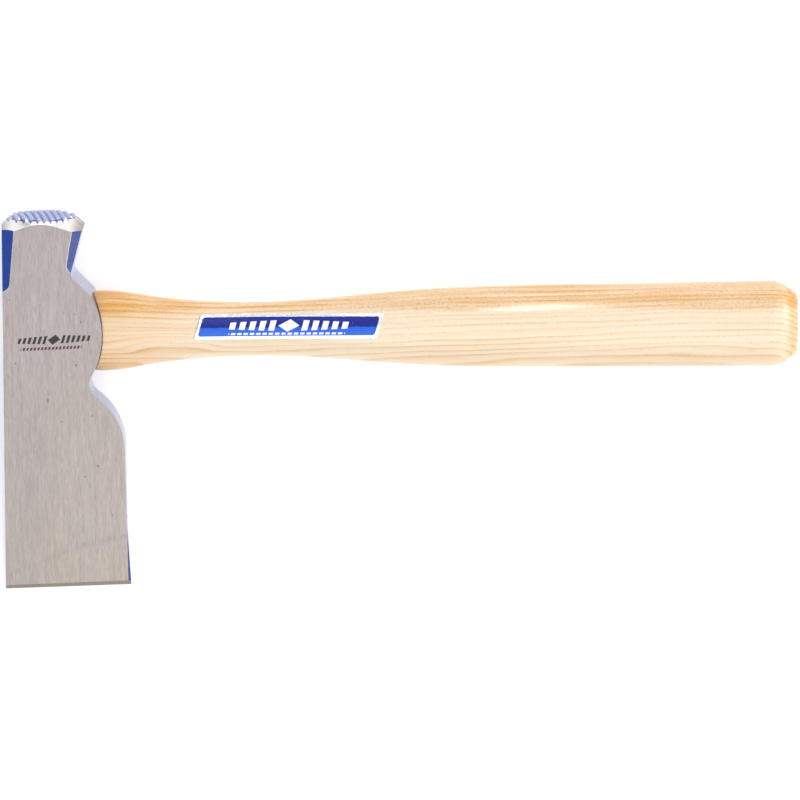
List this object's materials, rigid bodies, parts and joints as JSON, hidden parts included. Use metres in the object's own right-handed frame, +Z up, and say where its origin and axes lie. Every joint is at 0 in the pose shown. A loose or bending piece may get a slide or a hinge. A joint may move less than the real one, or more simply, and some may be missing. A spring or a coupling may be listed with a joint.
{
  "type": "hatchet",
  "caption": "One-hand hatchet with a milled eight-sided hammer poll, a flat-topped wedge blade and a wedged wooden handle, lying on its cheek.",
  "frame": {"origin": "where the striking axis crosses the handle axis, dropped onto the flat lower cheek that the tool lies on", "axes": "+X along the handle to the butt, +Y towards the hammer poll, +Z up, out of the surface that the tool lies on"},
  "size_m": [0.331, 0.1587, 0.0305],
  "materials": {
    "head": "forged steel, cheeks and rim ground bright, side walls and poll chamfers painted blue",
    "handle": "hickory under clear lacquer",
    "wedge_wood": "bare hardwood end grain",
    "wedge_steel": "bare mild steel",
    "label": "printed metallised film"
  },
  "bodies": {
    "root": {"head": "head", "handle": "handle", "wood_wedge": "wedge_wood", "steel_wedge_upper": "wedge_steel", "steel_wedge_lower": "wedge_steel", "label": "label"}
  },
  "joints": []
}
